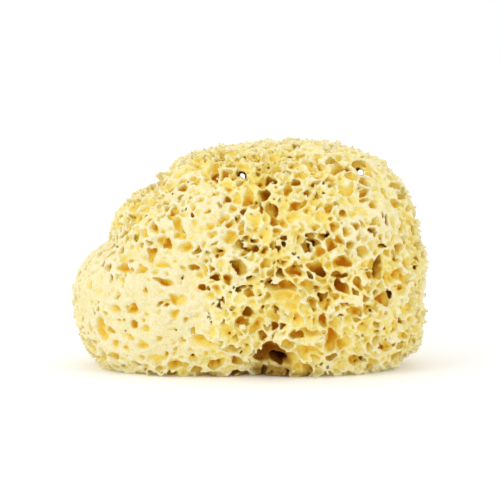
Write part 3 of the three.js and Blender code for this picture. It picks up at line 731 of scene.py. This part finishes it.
def shaft_distance(pore, x, y, z):
    """Distance from a pore's wall, below 0 inside, for places that are measured from its mouth."""

    def along(v):
        return x * np.float32(v[0]) + y * np.float32(v[1]) + z * np.float32(v[2])

    inwards = along(pore.axis)
    inside = np.maximum(inwards, 0)
    across = along(pore.level) - np.float32(pore.bend) * inside**2
    upward = along(pore.upright)
    half_wide, half_tall = pore.half
    off_axis = np.sqrt(across**2 + upward**2) + np.float32(1e-3)
    oval = np.sqrt((across / half_wide) ** 2 + (upward / half_tall) ** 2) + np.float32(1e-3)
    wide_share = across / off_axis
    tall_share = upward / off_axis
    threefold = wide_share * (4 * wide_share**2 - 3) * np.float32(math.cos(pore.turn))
    threefold -= tall_share * (3 - 4 * tall_share**2) * np.float32(math.sin(pore.turn))
    flare = 1 + np.float32(pore.flare) * np.exp(inside / -MOUTH_REACH)
    flare = flare + np.float32(pore.spread) * inside
    mouth_size = flare * (1 + np.float32(pore.lobes) * threefold)
    least = min(half_wide, half_tall)
    end = min(pore.deep, END_ROUNDNESS * least)
    past = np.maximum(inwards - (pore.deep - end), 0) / np.float32(end)
    before = np.maximum(-inwards - pore.outside, 0) / np.float32(least)
    share = np.sqrt((oval / mouth_size) ** 2 + past**2 + before**2) - 1
    return share * np.where(share > 0, off_axis / oval, np.float32(least))


def carve(nearest, second, warp, axes, pore):
    """Puts one pore into the distances to the nearest and second nearest pore, below 0 inside."""
    window = shaft_window(pore)
    here = nearest[window]
    if here.size:
        x = axes[0][window[0]][:, None, None] + warp[0][window] - np.float32(pore.mouth[0])
        y = axes[1][window[1]][None, :, None] + warp[1][window] - np.float32(pore.mouth[1])
        z = axes[2][window[2]][None, None, :] + warp[2][window] - np.float32(pore.mouth[2])
        distance = shaft_distance(pore, x, y, z)
        np.minimum(second[window], np.maximum(here, distance), out=second[window])
        np.minimum(here, distance, out=here)


def pore_walls(shafts, warp, axes):
    nearest = np.full(FIELD_SHAPE, FAR, np.float32)
    second = np.full(FIELD_SHAPE, FAR, np.float32)
    for pore in shafts:
        carve(nearest, second, warp, axes, pore)
    return nearest, second


def grown(nearest, second, height, felt, rng):
    """The pores, grown at their mouths until thin uneven walls are left between them."""
    growth = lerp(*GROWTH, felt) * np.exp(np.minimum(height, 0) / GROWTH_REACH)
    step, mean, swing = GROWTH_SWING
    growth *= np.clip(mean + swing * smooth_noise(step, rng), *GROWTH_LIMITS)
    step, swing = WALL_SWING
    half_wall = HALF_WALL + swing * smooth_noise(step, rng)
    cells = np.maximum(nearest - growth, half_wall - (second - nearest) / 2)
    return np.minimum(nearest, cells)


def sponge_field(rng):
    """The finished field, below 0 in the sponge, and each cell's height above the uneven skin."""
    axes = cell_axes()
    height = by_layers(axes, above_skin)
    warp = [layered_noise(WARP_LAYERS, rng) for _ in range(3)]
    large = front_shafts() + side_shafts()
    base = base_shafts()
    shafts = large + through_shafts() + side_canals() + base
    shafts += fill_shafts(large, rng) + base_fill_shafts(base, rng)
    felt = by_layers(axes, felt_share)
    pores = grown(*pore_walls(shafts, warp, axes), height, felt, rng)
    tiny = pinhole_shafts(rng) + dimple_shafts(rng)
    pores = np.minimum(pores, pore_walls(tiny, warp, axes)[0])
    step, among_pores, in_felt = SWELL
    height += SKIN_TRIM + lerp(among_pores, in_felt, felt) * smooth_noise(step, rng)
    layers = ((step, lerp(*strengths, felt)) for step, *strengths in ROUGH_LAYERS)
    rough = layered_noise(layers, rng)
    raised = np.clip((pores - CONULE_FOOT) / CONULE_RISE, 0, 1) ** 1.5
    rough -= CONULE_HEIGHT * raised * (1 - CONULE_SPARING * felt)
    field = np.maximum(height + rough, -pores)
    cut = -np.broadcast_to(axes[2], FIELD_SHAPE)
    field = np.maximum(field, cut)
    return np.clip(field, -3 * CELL, 3 * CELL), height


def blurred(values, reach):
    """Mean over a cube of cells round each cell."""
    width = 2 * reach + 1
    for axis in range(3):
        padding = [(0, 0)] * 3
        padding[axis] = (reach + 1, reach)
        total = np.cumsum(np.pad(values, padding, mode="edge"), axis=axis, dtype=np.float32)
        ahead = np.take(total, range(width, total.shape[axis]), axis=axis)
        behind = np.take(total, range(0, total.shape[axis] - width), axis=axis)
        values = (ahead - behind) / width
    return values


def sampled(field, points):
    """The field's value at points, from the eight cells round each."""
    place = np.clip((points - FIELD_LOW) / CELL, 0, np.array(FIELD_SHAPE) - 1.001)
    cell = place.astype(int)
    t = (place - cell).astype(np.float32)
    total = np.zeros(len(points), np.float32)
    for corner in np.ndindex(2, 2, 2):
        weight = np.prod(np.where(corner, t, 1 - t), axis=1)
        i, j, k = (cell + corner).T
        total += weight * field[i, j, k]
    return total


# Meshes


def island_labels(count, edges):
    """One number per connected piece of a mesh, for every point."""
    root = np.arange(count)
    while True:
        a, b = root[edges[:, 0]], root[edges[:, 1]]
        low, high = np.minimum(a, b), np.maximum(a, b)
        apart = low != high
        if not apart.any():
            return root
        np.minimum.at(root, high[apart], low[apart])
        while not np.array_equal(root, root[root]):
            root = root[root]


def joined_islands(points, triangles, ends):
    """The mesh without its crumbs: its largest island, and those that join the next slab."""
    edges = np.concatenate([triangles[:, :2], triangles[:, 1:]])
    labels = island_labels(len(points), edges)
    at_end = np.abs(points[:, 1:2] - np.array(ends)).min(1) < 0.05
    joined = np.zeros(len(points), bool)
    joined[labels[at_end]] = True
    joined[np.bincount(labels).argmax()] = True
    kept = joined[labels]
    place = np.cumsum(kept) - 1
    faces = place[triangles[kept[triangles[:, 0]]]]
    return points[kept], faces


def slab_surface(field, front, back):
    """The field's zero surface between two upright planes, as points and outward triangles."""
    y = cell_axes()[1]
    near = (y > front - 3 * CELL) & (y < back + 3 * CELL)
    past_ends = np.abs(y[near] - (front + back) / 2) - (back - front) / 2
    part = np.maximum(field[:, near], past_ends[None, :, None].astype(np.float32))
    grid = openvdb.FloatGrid(float(part.max()))
    grid.copyFromArray(np.ascontiguousarray(part), tolerance=1e-4)
    points, triangles, quads = grid.convertToPolygons(isovalue=0.0, adaptivity=0.0)
    corner = FIELD_LOW + np.array([0, CELL * np.argmax(near), 0])
    points = corner + np.asarray(points, float) * CELL
    quads = np.asarray(quads, int).reshape(-1, 4)
    triangles = np.asarray(triangles, int).reshape(-1, 3)
    faces = np.concatenate([triangles, quads[:, [0, 1, 2]], quads[:, [0, 2, 3]]])
    a, b, c = (points[faces[:, k]] for k in range(3))
    if (a * np.cross(b, c)).sum() < 0:
        faces = faces[:, ::-1]
    return joined_islands(points, faces, (front, back))


def new_mesh(name, points, faces):
    """A mesh from points in millimetres and faces of one size."""
    mesh = bpy.data.meshes.new(name)
    sides = faces.shape[1]
    mesh.vertices.add(len(points))
    mesh.vertices.foreach_set("co", (points * MM).astype(np.float32).ravel())
    mesh.loops.add(faces.size)
    mesh.loops.foreach_set("vertex_index", faces.astype(np.int32).ravel())
    mesh.polygons.add(len(faces))
    mesh.polygons.foreach_set("loop_start", np.arange(0, faces.size, sides, dtype=np.int32))
    mesh.update(calc_edges=True)
    mesh.validate()
    return mesh


def new_object(name, data):
    made = bpy.data.objects.new(name, data)
    bpy.context.scene.collection.objects.link(made)
    return made


def reduce(piece, faces):
    """Brings the piece under a number of triangles, most of them kept where it bends most."""
    if len(piece.data.polygons) > faces:
        modifier = piece.modifiers.new("reduce", "DECIMATE")
        modifier.ratio = faces / len(piece.data.polygons)
        view = bpy.context.evaluated_depsgraph_get()
        mesh = bpy.data.meshes.new_from_object(piece.evaluated_get(view))
        mesh.validate()
        piece.modifiers.clear()
        piece.data = mesh


def vectors(items, name):
    """One vector of each of a mesh's items, such as the places of its vertices."""
    values = np.empty(len(items) * 3, np.float32)
    items.foreach_get(name, values)
    return values.reshape(-1, 3).astype(float)


def shade_smooth(mesh):
    mesh.polygons.foreach_set("use_smooth", np.ones(len(mesh.polygons), bool))


def spine_mesh(points, normals, ridge, depth, rng):
    """Short tapered spines of fibre on the ridges, each sunk a little into them."""
    weight = np.clip((SPINE_RIDGE - ridge) / 0.2, 0, 1) ** 1.5
    weight *= np.clip((SPINE_DEPTH - depth) / 4, 0.02, 1)
    weight *= 1 - SPINE_SPARING * felt_share(points)
    weight[(points[:, 2] < SPINE_FOOT) | (normals[:, 2] < -0.9)] = 0
    chosen = rng.choice(len(points), SPINES, replace=False, p=weight / weight.sum())
    root = points[chosen]
    outward = skin_normals(root)
    axis = unit(0.5 * normals[chosen] + 0.7 * outward + rng.normal(0, SPINE_TILT, (SPINES, 3)))
    side = unit(np.cross(axis, rng.normal(0, 1, (SPINES, 3))))
    other = np.cross(axis, side)
    length = lerp(*SPINE_LENGTH, rng.random(SPINES) ** 2.2)
    thick = rng.uniform(*SPINE_THICKNESS, SPINES)
    lean = rng.normal(0, SPINE_LEAN, (SPINES, 3))
    rings = []
    for share, width in SPINE_RINGS:
        centre = root + axis * (share * np.maximum(length, 1))[:, None] + lean * max(share, 0)
        for k in range(SPINE_SIDES):
            angle = 2 * math.pi * (k + 0.5 * (share > 0)) / SPINE_SIDES
            spread = math.cos(angle) * side + 0.6 * math.sin(angle) * other
            rings.append(centre + spread * (thick * width)[:, None])
    tip = root + axis * length[:, None] + lean * length[:, None]
    vertices = np.stack([*rings, tip], 1)
    n = SPINE_SIDES
    faces = [(k + 2, k + 1, 0) for k in range(n - 2)]
    for k in range(n):
        after = (k + 1) % n
        faces += [(k, after, n + k), (after, n + after, n + k), (n + k, n + after, 2 * n)]
    repeated = vertices.shape[1]
    first = repeated * np.arange(SPINES)[:, None, None]
    faces = (np.array(faces)[None] + first).reshape(-1, 3)
    mesh = new_mesh("ridge_spines", vertices.reshape(-1, 3), faces)
    hollow = np.zeros(SPINES * repeated)
    # Spines take their roots' depth, so the painted shade of the pores carries onto them
    tint(mesh, vertices.reshape(-1, 3), np.repeat(depth[chosen], repeated), hollow)
    return mesh


# Materials


def srgb(r, g, b):
    """A colour as it is seen, 0 to 255, as the linear values that a shader takes."""
    seen = [value / 255 for value in (r, g, b)]
    linear = [c / 12.92 if c <= 0.04045 else ((c + 0.055) / 1.055) ** 2.4 for c in seen]
    return (*linear, 1.0)


def feed(tree, made, inputs):
    """Sets a node's inputs to numbers and colours, or links them to other nodes' outputs."""
    for key, value in inputs.items():
        if isinstance(value, (int, float, tuple)):
            made.inputs[key].default_value = value
        else:
            tree.links.new(value, made.inputs[key])


def node(tree, kind, inputs, **settings):
    made = tree.nodes.new(kind)
    for key, value in settings.items():
        setattr(made, key, value)
    feed(tree, made, inputs)
    return made


def noise_texture(tree, coordinates, scale, detail=4, roughness=0.5):
    inputs = {"Vector": coordinates, "Scale": scale, "Detail": detail, "Roughness": roughness}
    return node(tree, "ShaderNodeTexNoise", inputs).outputs["Fac"]


def maths(tree, operation, first, second, clamp=False):
    inputs = {0: first, 1: second}
    made = node(tree, "ShaderNodeMath", inputs, operation=operation, use_clamp=clamp)
    return made.outputs[0]


def remapped(tree, value, low, high, to_high=1.0):
    """The value's place between low and high, scaled to run from 0 to to_high."""
    inputs = {"Value": value, "From Min": low, "From Max": high, "To Min": 0.0, "To Max": to_high}
    return node(tree, "ShaderNodeMapRange", inputs).outputs["Result"]


def mixed(tree, share, first, second, blend="MIX"):
    inputs = {0: share, 6: first, 7: second}
    return node(tree, "ShaderNodeMix", inputs, data_type="RGBA", blend_type=blend).outputs[2]


def ramp(tree, value, stops):
    made = node(tree, "ShaderNodeValToRGB", {"Fac": value})
    elements = made.color_ramp.elements
    while len(elements) < len(stops):
        elements.new(0.5)
    for element, (place, *colour) in zip(elements, stops):
        element.position = place
        element.color = srgb(*colour)
    return made.outputs["Color"]


def attribute(tree, name):
    return node(tree, "ShaderNodeAttribute", {}, attribute_name=name).outputs["Fac"]


def new_material(name):
    material = bpy.data.materials.new(name)
    material.use_nodes = True
    return material, material.node_tree, material.node_tree.nodes["Principled BSDF"]


def sponge_material():
    """Spongin fibre, cream on the ridges, with shade painted in: yellow to orange deeper in the
    pores, browner in the hollow under the front.
    """
    material, tree, shader = new_material("sponge_fibre")
    coordinates = node(tree, "ShaderNodeTexCoord", {}).outputs["Object"]
    hollow = attribute(tree, "hollow")
    mottle = noise_texture(tree, coordinates, scale=160)
    grain = noise_texture(tree, coordinates, scale=1300, roughness=0.65)
    fibre = noise_texture(tree, coordinates, scale=3200, detail=2, roughness=0.6)
    # Painted shade: deeper in the pores, and where fibre closes round, the colour runs darker and
    # more orange
    depth = remapped(tree, attribute(tree, "depth"), *COLOUR_DEPTH)
    closed = maths(tree, "ADD", *(remapped(tree, hollow, *levels) for levels in ENCLOSED_SHADE_LEVELS))
    sunk = maths(tree, "ADD", maths(tree, "POWER", depth, COLOUR_POWER), closed)
    spread = maths(tree, "MULTIPLY", maths(tree, "SUBTRACT", mottle, 0.5), MOTTLE)
    place = maths(tree, "ADD", sunk, spread, clamp=True)
    ramps = (ramp(tree, place, stops) for stops in (PORED_STOPS, FELTED_STOPS))
    shade = mixed(tree, attribute(tree, "felt"), *ramps)
    # Painted shade: the hollow under the front and the rim's pits beside it are multiplied darker
    # and browner
    shade = mixed(tree, attribute(tree, "painted_shade"), shade, PAINTED_SHADE_TINT, "MULTIPLY")
    specks = mixed(tree, remapped(tree, grain, *SPECK_LEVELS), *SPECK_TINTS)
    relief = maths(tree, "ADD", grain, maths(tree, "MULTIPLY", fibre, 0.45))
    bump = {"Strength": 0.55, "Distance": BUMP_HEIGHT, "Height": relief}
    feed(tree, shader, {
        "Base Color": mixed(tree, 1.0, shade, specks, "MULTIPLY"),
        "Roughness": 0.92,
        "Specular IOR Level": 0.2,
        "Normal": node(tree, "ShaderNodeBump", bump).outputs["Normal"],
    })
    return material


def floor_material():
    material, tree, shader = new_material("studio_floor")
    feed(tree, shader, {
        "Base Color": (0.93, 0.93, 0.93, 1),
        "Roughness": 1.0,
        "Specular IOR Level": 0.0,
        "Emission Color": (1, 1, 1, 1),
        "Emission Strength": 0.12,
    })
    return material


# The studio


def make_floor():
    corners = FLOOR_REACH * np.array([[-1, -1, 0], [1, -1, 0], [1, 1, 0], [-1, 1, 0]])
    floor = new_object("floor", new_mesh("floor", corners, np.array([[0, 1, 2, 3]])))
    floor.data.materials.append(floor_material())


def make_world():
    world = bpy.data.worlds.new("studio")
    world.use_nodes = True
    background = world.node_tree.nodes["Background"]
    feed(world.node_tree, background, {"Color": (1.0, 1.0, 1.0, 1), "Strength": 1.0})
    bpy.context.scene.world = world


def look_along(piece, place, forward):
    """Puts a lamp or a camera at its place, in metres, and turns it to look forward."""
    piece.location = place
    piece.rotation_euler = forward.to_track_quat("-Z", "Y").to_euler()


def make_light():
    light = bpy.data.lights.new("key", "AREA")
    light.shape = "DISK"
    light.size = LIGHT_SIZE
    light.energy = LIGHT_POWER
    look_along(new_object("key", light), LIGHT_PLACE, LIGHT_TARGET - LIGHT_PLACE)


def make_camera():
    camera = new_object("camera", bpy.data.cameras.new("camera"))
    shift = FRAME_SHIFT[0] * ACROSS + FRAME_SHIFT[1] * EYE_UP
    look_along(camera, Vector((EYE + shift) * MM), Vector(FORWARD))
    camera.data.sensor_width = SENSOR_WIDTH
    camera.data.lens = SENSOR_WIDTH * EYE_DISTANCE / FRAME_WIDTH
    camera.data.clip_start = 0.01
    camera.data.clip_end = 50
    bpy.context.scene.camera = camera


# The sponge and its spines


def painted_shade_share(points, depth):
    """1 where shade is painted in, darker and browner: in the hollow under the front and in the
    rim's pits beside it.
    """
    x, y, z = points.T
    across = (x - CAVERN_MIDDLE[0]) / CAVERN_REACH[0]
    up = (z - CAVERN_MIDDLE[1]) / CAVERN_REACH[1]
    hollow = 4 * (1.1 - np.hypot(across, up))
    middle, reach, height = RIM_SHADE_BAND
    rim = 2.2 * (1 - z / height) * np.clip(1.3 - np.abs(x - middle) / reach, 0, 1)
    hollow = np.minimum(hollow, np.maximum((depth - 1.6) / 1.6, (6.5 - z) / 2.5))
    rim = np.minimum(rim, (depth - 0.4) / 1.2)
    return np.clip(np.maximum(hollow, rim), 0, 1) * np.clip(-y / 20, 0, 1)


def tint(mesh, points, depth, hollow):
    """Stores what the material needs to know of each point of the mesh."""
    felt = felt_share(points)
    # How much painted shade darkens the hollow under the front and the rim's pits beside it
    painted_shade = painted_shade_share(points, depth)
    for name, values in {"depth": depth, "hollow": hollow, "felt": felt, "painted_shade": painted_shade}.items():
        layer = mesh.attributes.new(name, "FLOAT", "POINT")
        layer.data.foreach_set("value", values.astype(np.float32))


def make_sponge():
    rng = np.random.default_rng(SEED)
    field, height = sponge_field(rng)
    solid = (field < 0).astype(np.float32)
    # How closed round each place is, which paints shade into the fibre's colour
    shares = [blurred(solid, round(reach / CELL)) for reach in HOLLOW_REACHES]
    hollow = sum(shares) / len(shares)
    ridge = blurred(solid, round(RIDGE_REACH / CELL))
    slabs = []
    roots = []
    for front, back in zip(SEAMS[:-1], SEAMS[1:]):
        surface = slab_surface(field, front - SEAM_OVERLAP, back + SEAM_OVERLAP)
        name = f"sponge_slab_{len(slabs) + 1}"
        slab = new_object(name, new_mesh(name, *surface))
        reduce(slab, MOST_FACES)
        points = vectors(slab.data.vertices, "co") / MM
        depth = np.maximum(-sampled(height, points), 0)
        tint(slab.data, points, depth, sampled(hollow, points))
        shade_smooth(slab.data)
        normals = vectors(slab.data.vertex_normals, "vector")
        own = (points[:, 1] > front) & (points[:, 1] < back)
        values = (points, normals, sampled(ridge, points), depth)
        roots.append([value[own] for value in values])
        slabs.append(slab)
    spines = new_object("ridge_spines", spine_mesh(*map(np.concatenate, zip(*roots)), rng))
    shade_smooth(spines.data)
    material = sponge_material()
    for piece in (*slabs, spines):
        piece.data.materials.append(material)
        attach(piece, "root")
    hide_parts("sponge")


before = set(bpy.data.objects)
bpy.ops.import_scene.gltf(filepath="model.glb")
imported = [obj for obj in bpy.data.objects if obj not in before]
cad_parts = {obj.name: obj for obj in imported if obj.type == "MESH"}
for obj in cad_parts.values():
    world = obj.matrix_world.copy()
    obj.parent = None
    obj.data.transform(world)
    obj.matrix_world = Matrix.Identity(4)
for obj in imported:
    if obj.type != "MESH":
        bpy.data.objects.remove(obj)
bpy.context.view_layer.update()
make_sponge()
make_floor()
make_world()
make_light()
make_camera()
bpy.context.scene.view_settings.view_transform = "Standard"
